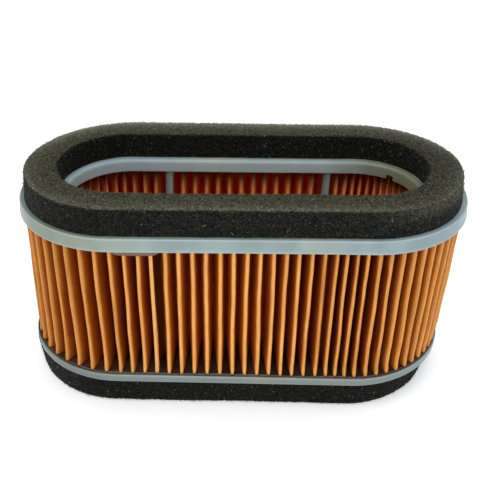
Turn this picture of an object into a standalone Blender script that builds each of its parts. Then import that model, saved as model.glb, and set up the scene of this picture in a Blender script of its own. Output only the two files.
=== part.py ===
"""Oval air filter element for a motorcycle: pleated paper potted between two moulded frames.

Racetrack outline, long axis on X, narrow axis on Y, +Z up.  The origin is under the middle of
the lower foam gasket, on the plane that the element rests on.  Metres throughout.
"""

import math

import bmesh
import bpy
from mathutils import Vector

# Overall size
LENGTH = 0.200
WIDTH = 0.0934
HEIGHT = 0.1045
GAP = 0.0003                     # clearance between touching pieces

# Racetrack outline: two straights joined by true half circles
END_RADIUS = WIDTH / 2
STRAIGHT_HALF = LENGTH / 2 - END_RADIUS
END_STEPS = 24                   # facets in each half circle

# Foam gaskets, one above and one below
UPPER_GASKET_DEPTH = 0.0126      # from the frame's face to the foam's sealing face
LOWER_GASKET_DEPTH = 0.0140
GASKET_INSET = 0.0017            # foam's outer wall, in from the frame's edge
GASKET_INNER = 0.0174            # foam's inner wall, in from the frame's edge
GASKET_LEAN = 0.0010             # how far the outer wall leans in at the sealing face
GASKET_ROUND = 0.0012            # eased edges at the sealing face
ADHESIVE_THICKNESS = 0.0004
ADHESIVE_OUTER = 0.0024
ADHESIVE_INNER = 0.0168

# Moulded frames: a flat ring with an outer and an inner wall, open towards the paper
FRAME_RING_WIDTH = 0.0202
FRAME_WALL = 0.0015
FRAME_ROUND = 0.0009             # rounded outer corner
LIP_ROUND = 0.0016               # rounder corner round the central opening
UPPER_WALL_DEPTH = 0.0063
LOWER_WALL_DEPTH = 0.0048

# Locating notch in the free edge of the upper frame's inner wall, at the +X end
NOTCH_WIDTH = 0.0036
NOTCH_DEPTH = 0.0024
NOTCH_ANGLE = math.radians(50)

# Potting compound in each frame's channel
POTTING_DEPTH = 0.0028

# Pleated paper
PAPER_THICKNESS = 0.0007
FOLD_OUTER = 0.0020              # outer fold tips, in from the frame's edge
FOLD_INNER = 0.0175              # inner fold tips
FOLD_ROUND = 0.00045             # how much a fold's shoulders fall short of its tip
FOLD_HALF_WIDTH = 0.0008
PITCH_RADIUS_INSET = 0.0100      # the line that the pleats are spaced along
SHALLOW_FOLD = 0.0122            # inner folds that make room for a post
SEAM_HALF_WIDTH = 0.0009         # from the seam's middle to the middle of either glued end
SEAM_DEPTH = 0.0045
SEAM_GLUE_THICKNESS = 0.0005

# Posts that hold the two frames apart, anticlockwise: each one's x, and -1 in front or 1 behind
POSTS = (
    ("front_left", -0.0339, -1),
    ("front_right", 0.0381, -1),
    ("rear_right", 0.0414, 1),
    ("rear_left", -0.0367, 1),
)
POST_ROOM = (0.0, 0.0, 0.0011, 0.0011)   # how much further than a pitch the pleats beside each post stand
POST_WIDTH = 0.0042
POST_OUTER = 0.0138
POST_INNER = 0.0180
POST_ROUND = 0.0010
BAY_PLEATS = (13, 33, 13, 27)    # pleats from each post to the next

# Levels
LOWER_FACE = LOWER_GASKET_DEPTH
UPPER_FACE = HEIGHT - UPPER_GASKET_DEPTH
PAPER_BOTTOM = LOWER_FACE + FRAME_WALL + GAP + POTTING_DEPTH + GAP
PAPER_TOP = UPPER_FACE - FRAME_WALL - GAP - POTTING_DEPTH - GAP

PITCH_RADIUS = END_RADIUS - PITCH_RADIUS_INSET
LAP = 4 * STRAIGHT_HALF + 2 * math.pi * PITCH_RADIUS


def clear_scene():
    for item in list(bpy.data.objects):
        bpy.data.objects.remove(item, do_unlink=True)


def make_material(name, color, roughness, metallic=0.0):
    material = bpy.data.materials.new(name)
    material.use_nodes = True
    shader = material.node_tree.nodes["Principled BSDF"]
    shader.inputs["Base Color"].default_value = (*color, 1.0)
    shader.inputs["Roughness"].default_value = roughness
    shader.inputs["Metallic"].default_value = metallic
    return material


def new_object(name, mesh, material):
    piece = bpy.data.objects.new(name, mesh)
    bpy.context.scene.collection.objects.link(piece)
    mesh.materials.append(material)
    return piece


def mesh_from_bmesh(name, body):
    bmesh.ops.recalc_face_normals(body, faces=body.faces)
    mesh = bpy.data.meshes.new(name)
    body.to_mesh(mesh)
    body.free()
    return mesh


def shade_round(mesh, angle_degrees=35):
    mesh.shade_smooth()
    mesh.set_sharp_from_angle(angle=math.radians(angle_degrees))


def outline_stations():
    """Anticlockwise stations round the outline: each end's centre x and the outward angle."""
    stations = []
    for side, start in ((1, -math.pi / 2), (-1, math.pi / 2)):
        for step in range(END_STEPS + 1):
            angle = start + math.pi * step / END_STEPS
            stations.append((side * STRAIGHT_HALF, angle))
    return stations


def station_point(station, inset, height):
    centre_x, angle = station
    radius = END_RADIUS - inset
    return Vector((centre_x + radius * math.cos(angle), radius * math.sin(angle), height))


def swept_ring(name, profile, material):
    """A closed ring: the (inset, height) profile carried once round the racetrack."""
    body = bmesh.new()
    rows = []
    for station in outline_stations():
        rows.append([body.verts.new(station_point(station, inset, height)) for inset, height in profile])
    for index, row in enumerate(rows):
        following = rows[(index + 1) % len(rows)]
        for corner in range(len(profile)):
            beside = (corner + 1) % len(profile)
            body.faces.new((row[corner], following[corner], following[beside], row[beside]))
    mesh = mesh_from_bmesh(name, body)
    shade_round(mesh)
    return new_object(name, mesh, material)


def eased_corner(inset, height, inset_step, height_step, radius, from_side):
    """Three points round a corner at (inset, height); the steps give the body's direction."""
    points = []
    for part in (0.0, 0.5, 1.0):
        angle = part * math.pi / 2
        along_inset = radius * (1 - math.sin(angle))
        along_height = radius * (1 - math.cos(angle))
        points.append((inset + inset_step * along_inset, height + height_step * along_height))
    return points[::-1] if from_side else points


def foam_gasket(name, face, seal, material):
    """One gasket from a frame's face to its sealing face, above the element or below it."""
    direction = 1 if seal > face else -1
    foot = face + direction * (2 * GAP + ADHESIVE_THICKNESS)
    outer_top = GASKET_INSET + GASKET_LEAN
    profile = [
        (GASKET_INSET, foot),
        *eased_corner(outer_top, seal, 1, -direction, GASKET_ROUND, True),
        *eased_corner(GASKET_INNER, seal, -1, -direction, GASKET_ROUND, False),
        (GASKET_INNER, foot),
    ]
    return swept_ring(name, profile, material)


def adhesive_film(name, face, direction, material):
    near = face + direction * GAP
    far = near + direction * ADHESIVE_THICKNESS
    profile = [(ADHESIVE_OUTER, near), (ADHESIVE_OUTER, far), (ADHESIVE_INNER, far), (ADHESIVE_INNER, near)]
    return swept_ring(name, profile, material)


def frame_ring(name, face, direction, wall_depth, material):
    """A channel section; direction points from the face away from the paper."""
    free_edge = face - direction * wall_depth
    floor = face - direction * FRAME_WALL
    profile = [
        (0.0, free_edge),
        *eased_corner(0.0, face, 1, -direction, FRAME_ROUND, True),
        *eased_corner(FRAME_RING_WIDTH, face, -1, -direction, LIP_ROUND, False),
        (FRAME_RING_WIDTH, free_edge),
        (FRAME_RING_WIDTH - FRAME_WALL, free_edge),
        (FRAME_RING_WIDTH - FRAME_WALL, floor),
        (FRAME_WALL, floor),
        (FRAME_WALL, free_edge),
    ]
    return swept_ring(name, profile, material)


def cut_away(target, cutter):
    cutter.hide_render = True
    cutter.display_type = "WIRE"
    boolean = target.modifiers.new("cut_" + cutter.name, "BOOLEAN")
    boolean.operation = "DIFFERENCE"
    boolean.solver = "EXACT"
    boolean.object = cutter


def block_cutter(name, size, location, turn=0.0):
    body = bmesh.new()
    bmesh.ops.create_cube(body, size=1.0)
    bmesh.ops.scale(body, vec=Vector(size), verts=body.verts)
    mesh = mesh_from_bmesh(name, body)
    cutter = bpy.data.objects.new(name, mesh)
    bpy.context.scene.collection.objects.link(cutter)
    cutter.location = location
    cutter.rotation_euler.z = turn
    return cutter


def cut_locating_notch(frame):
    """A square notch through the inner wall's free edge, part of the way round the +X end."""
    radius = END_RADIUS - FRAME_RING_WIDTH + FRAME_WALL / 2
    middle = (
        STRAIGHT_HALF + radius * math.cos(NOTCH_ANGLE),
        radius * math.sin(NOTCH_ANGLE),
        UPPER_FACE - UPPER_WALL_DEPTH,
    )
    size = (2 * FRAME_WALL, NOTCH_WIDTH, 2 * NOTCH_DEPTH)
    cut_away(frame, block_cutter("notch_cutter", size, middle, NOTCH_ANGLE))


def potting_bed(name, face, direction, material):
    """The compound that fills a frame's channel, with a pocket round each post."""
    floor = face - direction * (FRAME_WALL + GAP)
    surface = floor - direction * POTTING_DEPTH
    outer = FRAME_WALL + GAP
    inner = FRAME_RING_WIDTH - FRAME_WALL - GAP
    bed = swept_ring(name, [(outer, floor), (inner, floor), (inner, surface), (outer, surface)], material)
    for label, middle_x, side in POSTS:
        pocket_outer = END_RADIUS - POST_OUTER + GAP
        pocket_inner = END_RADIUS - FRAME_RING_WIDTH
        size = (POST_WIDTH + 2 * GAP, pocket_outer - pocket_inner, 4 * POTTING_DEPTH)
        middle_y = side * (pocket_outer + pocket_inner) / 2
        place = (middle_x, middle_y, (floor + surface) / 2)
        cut_away(bed, block_cutter(name + "_pocket_" + label, size, place))
    return bed


def support_post(label, middle_x, side, material):
    """An upright post with rounded corners, standing in both frames' channels."""
    bottom = LOWER_FACE + FRAME_WALL + GAP
    top = UPPER_FACE - FRAME_WALL - GAP
    depth = POST_INNER - POST_OUTER
    body = bmesh.new()
    bmesh.ops.create_cube(body, size=1.0)
    bmesh.ops.scale(body, vec=Vector((POST_WIDTH, depth, top - bottom)), verts=body.verts)
    upright = [edge for edge in body.edges if abs(edge.verts[0].co.z - edge.verts[1].co.z) > depth]
    bmesh.ops.bevel(body, geom=upright, offset=POST_ROUND, segments=3, affect="EDGES", profile=0.5)
    mesh = mesh_from_bmesh("post_" + label, body)
    shade_round(mesh)
    post = new_object("post_" + label, mesh, material)
    middle_y = side * (END_RADIUS - (POST_OUTER + POST_INNER) / 2)
    post.location = (middle_x, middle_y, (bottom + top) / 2)
    return post


def pitch_line_point(distance, inset):
    """A plan point at an inset, beside a distance along the pitch line; 0 is the -Y middle."""
    distance = (distance + STRAIGHT_HALF) % LAP
    radius = END_RADIUS - inset
    side = 1
    if distance >= LAP / 2:
        distance -= LAP / 2
        side = -1
    if distance <= 2 * STRAIGHT_HALF:
        return Vector((side * (distance - STRAIGHT_HALF), -side * radius))
    angle = (distance - 2 * STRAIGHT_HALF) / PITCH_RADIUS
    return Vector((side * (STRAIGHT_HALF + radius * math.sin(angle)), -side * radius * math.cos(angle)))


def fold_points(middle, tip, shoulder):
    """Three points round one fold, whose tip and shoulders are insets."""
    return [
        pitch_line_point(middle - FOLD_HALF_WIDTH, shoulder),
        pitch_line_point(middle, tip),
        pitch_line_point(middle + FOLD_HALF_WIDTH, shoulder),
    ]


def inner_folds():
    """Every inner fold's distance along the pitch line, and whether it makes room for a post."""
    posts = [middle_x if side < 0 else LAP / 2 - middle_x for label, middle_x, side in POSTS]
    posts.append(posts[0] + LAP)
    rooms = (*POST_ROOM, POST_ROOM[0])
    folds = []
    for bay, count in enumerate(BAY_PLEATS):
        folds.append((posts[bay], True))
        start = posts[bay] + rooms[bay]
        end = posts[bay + 1] - rooms[bay + 1]
        for step in range(1, count):
            folds.append((start + (end - start) * step / count, False))
    return folds


def seam_distance():
    """The outer fold just before the front left post, where the paper's two ends are glued."""
    folds = inner_folds()
    return (folds[-1][0] - LAP + folds[0][0]) / 2


def paper_middle_line():
    """The paper's middle line in plan, from one glued end round to the other."""
    tip = FOLD_OUTER + PAPER_THICKNESS / 2
    root = FOLD_INNER - PAPER_THICKNESS / 2
    folds = inner_folds()
    seam = seam_distance()
    points = [
        pitch_line_point(seam + SEAM_HALF_WIDTH, FOLD_OUTER),
        pitch_line_point(seam + SEAM_HALF_WIDTH, FOLD_OUTER + SEAM_DEPTH),
    ]
    for index, (place, at_post) in enumerate(folds):
        if index > 0:
            middle = (folds[index - 1][0] + place) / 2
            points += fold_points(middle, tip, tip + FOLD_ROUND)
        bottom = SHALLOW_FOLD if at_post else root
        points += fold_points(place, bottom, bottom - FOLD_ROUND)
    points += [
        pitch_line_point(seam - SEAM_HALF_WIDTH, FOLD_OUTER + SEAM_DEPTH),
        pitch_line_point(seam - SEAM_HALF_WIDTH, FOLD_OUTER),
    ]
    return points


def mitred_normals(points):
    """At each point of an open line, the vector that keeps both neighbours' offset true."""
    edges = [(after - before).normalized() for before, after in zip(points, points[1:])]
    sides = [Vector((edge.y, -edge.x)) for edge in edges]
    normals = [sides[0]]
    for before, after in zip(sides, sides[1:]):
        middle = (before + after).normalized()
        normals.append(middle / middle.dot(after))
    normals.append(sides[-1])
    return normals


def pleated_paper(material):
    """The folded band: its middle line thickened to both sides and raised."""
    line = paper_middle_line()
    body = bmesh.new()
    columns = []
    for point, normal in zip(line, mitred_normals(line)):
        column = []
        for side in (1, -1):
            place = point + normal * (side * PAPER_THICKNESS / 2)
            for height in (PAPER_BOTTOM, PAPER_TOP):
                column.append(body.verts.new((place.x, place.y, height)))
        columns.append(column)
    for here, ahead in zip(columns, columns[1:]):
        for first, second in ((0, 1), (1, 3), (3, 2), (2, 0)):
            body.faces.new((here[first], ahead[first], ahead[second], here[second]))
    for end in (columns[0], columns[-1]):
        body.faces.new((end[0], end[1], end[3], end[2]))
    mesh = mesh_from_bmesh("pleated_paper", body)
    shade_round(mesh, 65)
    return new_object("pleated_paper", mesh, material)


def seam_glue(material):
    """The bead of glue between the paper's two ends."""
    half = SEAM_GLUE_THICKNESS / 2
    seam = seam_distance()
    outer = FOLD_OUTER + GAP
    inner = FOLD_OUTER + SEAM_DEPTH - GAP
    corners = [(-half, outer), (half, outer), (half, inner), (-half, inner)]
    plan = [pitch_line_point(seam + along, inset) for along, inset in corners]
    body = bmesh.new()
    low = [body.verts.new((point.x, point.y, PAPER_BOTTOM)) for point in plan]
    high = [body.verts.new((point.x, point.y, PAPER_TOP)) for point in plan]
    body.faces.new(low)
    body.faces.new(high)
    for corner in range(len(plan)):
        beside = (corner + 1) % len(plan)
        body.faces.new((low[corner], low[beside], high[beside], high[corner]))
    return new_object("paper_seam_glue", mesh_from_bmesh("paper_seam_glue", body), material)


def build():
    clear_scene()
    foam = make_material("foam", (0.030, 0.032, 0.028), 0.95)
    adhesive = make_material("adhesive", (0.62, 0.55, 0.40), 0.45)
    moulding = make_material("frame_plastic", (0.36, 0.45, 0.46), 0.42)
    potting = make_material("potting", (0.10, 0.045, 0.018), 0.35)
    paper = make_material("filter_paper", (0.62, 0.27, 0.06), 0.80)
    glue = make_material("seam_glue", (0.50, 0.33, 0.14), 0.40)

    upper_frame = frame_ring("upper_frame", UPPER_FACE, 1, UPPER_WALL_DEPTH, moulding)
    cut_locating_notch(upper_frame)
    frame_ring("lower_frame", LOWER_FACE, -1, LOWER_WALL_DEPTH, moulding)
    potting_bed("upper_potting", UPPER_FACE, 1, potting)
    potting_bed("lower_potting", LOWER_FACE, -1, potting)
    pleated_paper(paper)
    seam_glue(glue)
    for label, middle_x, side in POSTS:
        support_post(label, middle_x, side, moulding)
    foam_gasket("upper_foam_gasket", UPPER_FACE, HEIGHT, foam)
    foam_gasket("lower_foam_gasket", LOWER_FACE, 0.0, foam)
    adhesive_film("upper_gasket_adhesive", UPPER_FACE, 1, adhesive)
    adhesive_film("lower_gasket_adhesive", LOWER_FACE, -1, adhesive)


build()
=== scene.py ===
import math

import bpy
import numpy as np
from mathutils import Matrix, Vector


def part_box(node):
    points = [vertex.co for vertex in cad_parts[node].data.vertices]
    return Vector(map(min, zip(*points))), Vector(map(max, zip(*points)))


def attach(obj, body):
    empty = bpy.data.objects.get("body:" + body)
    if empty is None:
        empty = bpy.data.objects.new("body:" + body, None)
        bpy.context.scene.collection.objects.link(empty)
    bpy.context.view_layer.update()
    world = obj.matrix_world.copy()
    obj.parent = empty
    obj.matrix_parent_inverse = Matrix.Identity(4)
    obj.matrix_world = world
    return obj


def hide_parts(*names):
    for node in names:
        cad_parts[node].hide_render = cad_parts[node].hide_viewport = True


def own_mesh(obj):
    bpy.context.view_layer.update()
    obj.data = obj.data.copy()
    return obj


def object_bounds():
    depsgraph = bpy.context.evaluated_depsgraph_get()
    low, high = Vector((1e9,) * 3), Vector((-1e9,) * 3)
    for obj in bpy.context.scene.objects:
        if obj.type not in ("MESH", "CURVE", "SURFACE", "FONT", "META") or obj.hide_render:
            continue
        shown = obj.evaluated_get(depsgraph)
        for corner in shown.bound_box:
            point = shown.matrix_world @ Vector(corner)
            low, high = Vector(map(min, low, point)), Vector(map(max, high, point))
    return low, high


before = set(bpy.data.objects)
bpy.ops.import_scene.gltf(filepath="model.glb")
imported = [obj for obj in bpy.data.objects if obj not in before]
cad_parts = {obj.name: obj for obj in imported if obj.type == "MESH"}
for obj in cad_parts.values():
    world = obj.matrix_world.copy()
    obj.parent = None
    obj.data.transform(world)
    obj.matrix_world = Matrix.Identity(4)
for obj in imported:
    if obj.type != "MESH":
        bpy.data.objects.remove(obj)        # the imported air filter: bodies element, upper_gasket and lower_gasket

CAD_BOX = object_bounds()
SEED = 20
MM = 0.001

# ---- Levels and outlines, from the frame ----

low_corner, high_corner = CAD_BOX
HALF_LENGTH = (high_corner.x - low_corner.x) / 2
END_RADIUS = (high_corner.y - low_corner.y) / 2
STRAIGHT_HALF = HALF_LENGTH - END_RADIUS

UPPER_FRAME_LOW, UPPER_FRAME_HIGH = (corner.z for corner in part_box("upper_frame"))
LOWER_FRAME_LOW, LOWER_FRAME_HIGH = (corner.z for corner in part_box("lower_frame"))
LOWER_BED_LOW, LOWER_BED_HIGH = (corner.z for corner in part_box("lower_potting"))
UPPER_BED_LOW, UPPER_BED_HIGH = (corner.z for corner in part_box("upper_potting"))
PAPER_LOW, PAPER_HIGH = (corner.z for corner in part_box("pleated_paper"))
SEAL_TOP = high_corner.z
SEAL_BOTTOM = low_corner.z

FRAME_RING = 20.2 * MM           # width of the frames' flat ring
FRAME_WALL = 1.5 * MM
FOAM_OUTER = 1.7 * MM            # insets of the foam's walls from the frame's edge
FOAM_INNER = 17.4 * MM
FOAM_LEAN = 1.0 * MM
LEAN_X = 2.9 * MM                # how far the upper frame stands to +X of the lower one
LEAN_Y = -0.45 * MM
TWIST = math.radians(1.17)       # and how far it is turned on it
NEAR_SIDE = (60 * MM, 105 * MM)  # the -Y side's pleats stand upright up to here, and lean beyond
END_ZONE = (22 * MM, 84 * MM)    # distances from a side's middle between which its end begins
END_SOONER = 18 * MM             # and how much sooner it does round the +X end
END_SWELL_WIDTH = 0.36           # as a share of the distance to the end's middle
SKIRT_FLARE = 1.6 * MM
PAPER_BULGE = 1.8 * MM
LOWER_FRAME_SHADE = 0.62               # how much darker the lower frame is painted than the upper one, as painted shade near the floor
SQUEEZED_OUT = 3.6 * MM          # how far the upper bed hangs below its level where it was squeezed out
BED_BACK = 0.25 * MM             # how far the beds reach into the frames' corners

FOLD_OUTER = 2.0 * MM            # insets of the pleats' outer and inner tips
FOLD_INNER = 17.5 * MM
PITCH_INSET = 10.0 * MM          # the pleats are spaced along this line
PITCH_RADIUS = END_RADIUS - PITCH_INSET
LAP = 4 * STRAIGHT_HALF + 2 * math.pi * PITCH_RADIUS
POST_NODES = ("post_front_left", "post_front_right", "post_rear_right", "post_rear_left")
BAY_PLEATS = (13, 33, 13, 27)    # pleats from each post to the next, anticlockwise
POST_ROOM = (0.0, 0.0, 1.1 * MM, 1.1 * MM)   # how much further than a pitch the pleats beside each post stand
PLEATS = sum(BAY_PLEATS)
END_MIDDLE = STRAIGHT_HALF + math.pi / 2 * PITCH_RADIUS   # distance to the middle of the +X end
BED_DISHED = 0.6 * MM            # how far the lower bed and wall have sunk below the drawn level


def fold_places():
    """Distances along the pitch line of the inner folds, one for each pleat, from the front left post."""
    posts = []
    for node in POST_NODES:
        middle = sum(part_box(node), Vector()) / 2
        posts.append(middle.x if middle.y < 0 else LAP / 2 - middle.x)
    posts.append(posts[0] + LAP)
    rooms = (*POST_ROOM, POST_ROOM[0])
    folds = []
    for bay, count in enumerate(BAY_PLEATS):
        folds.append(posts[bay])
        start = posts[bay] + rooms[bay]
        end = posts[bay + 1] - rooms[bay + 1]
        folds.extend(start + (end - start) * np.arange(1, count) / count)
    return np.array(folds)


INNER_FOLDS = fold_places()
OUTER_FOLDS = (INNER_FOLDS + np.append(INNER_FOLDS[1:], INNER_FOLDS[0] + LAP)) / 2
POST_FOLDS = np.cumsum((0, *BAY_PLEATS[:-1]))   # the inner folds that stand before a post
SEAM = OUTER_FOLDS[-1] - LAP                    # the fold in which the paper's two ends are glued


def plan(distance, inset):
    """Plan x and y at an inset from the outline, beside a distance along the pitch line.

    Distance 0 is the middle of the -Y side and grows towards +X.  Both may be arrays.
    """
    distance, inset = np.broadcast_arrays(np.asarray(distance, float), np.asarray(inset, float))
    along = (distance + STRAIGHT_HALF) % LAP
    second = along >= LAP / 2
    side = np.where(second, -1.0, 1.0)
    along = np.where(second, along - LAP / 2, along)
    radius = END_RADIUS - inset
    angle = np.clip((along - 2 * STRAIGHT_HALF) / PITCH_RADIUS, 0, None)
    straight = along <= 2 * STRAIGHT_HALF
    x = np.where(straight, along - STRAIGHT_HALF, STRAIGHT_HALF + radius * np.sin(angle))
    y = np.where(straight, -radius, -radius * np.cos(angle))
    return side * x, side * y


def lap_stations(spacing):
    """Distances round the pitch line, about a spacing apart, with a station at each change of curve."""
    straight = 2 * STRAIGHT_HALF
    curve = math.pi * PITCH_RADIUS
    start = -STRAIGHT_HALF
    stations = []
    for length in (straight, curve, straight, curve):
        count = max(2, round(length / spacing))
        stations.append(start + length * np.arange(count) / count)
        start += length
    return np.concatenate(stations)


# ---- Smooth seeded noise on arrays of points ----

def hashed(i, j, k, channel):
    """A repeatable number from 0 to 1 for each integer cell."""
    mixed = (i * 73856093) ^ (j * 19349663) ^ (k * 83492791) ^ (channel * 2654435 + SEED * 97531)
    mixed = (mixed ^ (mixed >> 13)) * 1274126177 & 0x7FFFFFFF
    mixed = (mixed ^ (mixed >> 16)) * 668265263 & 0x7FFFFFFF
    return (mixed & 0xFFFFF) / float(0x100000)


def smooth_noise(points, scale, channel=0):
    """Value noise from -1 to 1 with features about one scale apart."""
    cell = points / scale
    base = np.floor(cell).astype(np.int64)
    part = cell - base
    part = part * part * (3 - 2 * part)
    total = np.zeros(points.shape[:-1])
    for dx, dy, dz in np.ndindex(2, 2, 2):
        weight = (
            (part[..., 0] if dx else 1 - part[..., 0])
            * (part[..., 1] if dy else 1 - part[..., 1])
            * (part[..., 2] if dz else 1 - part[..., 2])
        )
        total += weight * hashed(base[..., 0] + dx, base[..., 1] + dy, base[..., 2] + dz, channel)
    return total * 2 - 1


def cell_edges(points, scale, channel=0):
    """For scattered cells one scale apart: how far inside its cell each point is, and the cell's number."""
    cell = points / scale
    base = np.floor(cell).astype(np.int64)
    nearest = np.full(len(points), 9.0)
    second = np.full(len(points), 9.0)
    owner = np.zeros(len(points))
    for dx, dy, dz in np.ndindex(3, 3, 3):
        i, j, k = base[:, 0] + dx - 1, base[:, 1] + dy - 1, base[:, 2] + dz - 1
        jitters = [number + hashed(i, j, k, channel + row) for row, number in enumerate((i, j, k))]
        seed = np.stack(jitters, axis=1)
        distance = np.linalg.norm(cell - seed, axis=1)
        closer = distance < nearest
        second = np.where(closer, nearest, np.minimum(second, distance))
        owner = np.where(closer, hashed(i, j, k, channel + 3), owner)
        nearest = np.where(closer, distance, nearest)
    return second - nearest, owner


def smoothstep(low, high, value):
    part = np.clip((value - low) / (high - low), 0, 1)
    return part * part * (3 - 2 * part)


def lean_share(height):
    """-0.5 at the lower frame's face and below, 0.5 at the upper frame's face and above."""
    return np.clip((height - LOWER_FRAME_LOW) / (UPPER_FRAME_HIGH - LOWER_FRAME_LOW), 0, 1) - 0.5


def from_middle(distance):
    """The distance along the pitch line from the middle of the -Y side, below 0 to its left."""
    return (distance + LAP / 2) % LAP - LAP / 2


def uprighting(distance, height):
    """How far along the pitch line the near pleats and posts stand from where the lean would carry them."""
    near = 1 - smoothstep(*NEAR_SIDE, np.abs(from_middle(distance)))
    return -LEAN_X * lean_share(height) * near


def end_share(distance):
    """0 along the middle of either side, growing to 1 round both ends, sooner round the +X end."""
    from_side = np.minimum(np.abs(from_middle(distance)), LAP / 2 - np.abs(from_middle(distance)))
    sooner = END_SOONER * (from_middle(distance) > 0)
    return smoothstep(*END_ZONE, from_side + sooner * smoothstep(0.0, 10 * MM, from_side))


def end_swell(distance):
    """1 at the middle of the +X end, a half at that of the -X end, and next to nothing along the sides."""
    across = from_middle(distance) / END_MIDDLE
    far_end = np.exp(-((across - 1) / END_SWELL_WIDTH) ** 2)
    return far_end + 0.5 * np.exp(-((across + 1) / END_SWELL_WIDTH) ** 2)


def leaned(points):
    """The points with the upper frame's side carried to +X and turned, and the lower one's the other way.

    The paper gives a little, so the element stands slightly out of true.
    """
    share = lean_share(points[:, 2])
    turn = TWIST * share
    moved = points.copy()
    moved[:, 0] = points[:, 0] * np.cos(turn) - points[:, 1] * np.sin(turn) + LEAN_X * share
    moved[:, 1] = points[:, 0] * np.sin(turn) + points[:, 1] * np.cos(turn) + LEAN_Y * share
    return moved


# ---- Meshes ----

def into_scene(thing):
    bpy.context.scene.collection.objects.link(thing)


def make_piece(name, points, faces, material, smooth=True, attributes=None):
    mesh = bpy.data.meshes.new(name)
    mesh.from_pydata(leaned(points).tolist(), [], faces.tolist() if hasattr(faces, "tolist") else faces)
    mesh.update()
    if smooth:
        mesh.shade_smooth()
    for label, values in (attributes or {}).items():
        layer = mesh.attributes.new(label, "FLOAT", "POINT")
        layer.data.foreach_set("value", np.asarray(values, np.float32))
    mesh.materials.append(material)
    piece = bpy.data.objects.new(name, mesh)
    into_scene(piece)
    return piece


def grid_faces(rows, columns, wrap_rows, wrap_columns):
    """Quads of a grid of points stored row by row."""
    row = np.arange(rows if wrap_rows else rows - 1)
    column = np.arange(columns if wrap_columns else columns - 1)
    r, c = np.meshgrid(row, column, indexing="ij")
    r_next, c_next = (r + 1) % rows, (c + 1) % columns
    here, ahead = r * columns, r_next * columns
    return np.stack([here + c, ahead + c, ahead + c_next, here + c_next], axis=-1).reshape(-1, 4)


def facing(faces, up):
    """The faces as they are for a piece that faces up, and turned over for one that faces down."""
    return faces if up > 0 else faces[:, ::-1]


def capped_faces(rows, columns):
    """Faces of a closed tube of points stored row by row, with one face over each end."""
    faces = [tuple(face) for face in grid_faces(rows, columns, False, True)[:, ::-1]]
    last = (rows - 1) * columns
    return [*faces, tuple(range(columns))[::-1], tuple(range(last, last + columns))]


def arc_profile(centre, radius, start, end, count):
    """Points round an arc in (inset, height); angles in degrees, 0 towards larger inset, 90 up."""
    angles = np.radians(np.linspace(start, end, count))
    return [(centre[0] + radius * math.cos(a), centre[1] + radius * math.sin(a)) for a in angles]


def spread_line(start, end, spacing):
    """Points from start towards end, about a spacing apart, without the end itself."""
    start, end = np.array(start), np.array(end)
    count = max(1, round(np.linalg.norm(end - start) / spacing))
    return [tuple(start + (end - start) * step / count) for step in range(count)]


def swept_points(stations, profile):
    """The (inset, height) profile at every station: an array of stations, profile points, xyz."""
    profile = np.array(profile)
    x, y = plan(stations[:, None], profile[None, :, 0])
    z = np.broadcast_to(profile[None, :, 1], x.shape)
    return np.stack([x, y, z], axis=-1)


def outward_normals(points):
    """Unit normals of a closed grid swept round the racetrack, from its neighbours."""
    around = np.roll(points, -1, axis=0) - np.roll(points, 1, axis=0)
    across = np.roll(points, -1, axis=1) - np.roll(points, 1, axis=1)
    normals = np.cross(around, across)
    length = np.linalg.norm(normals, axis=-1, keepdims=True)
    return normals / np.maximum(length, 1e-12)


# ---- Material building ----

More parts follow.
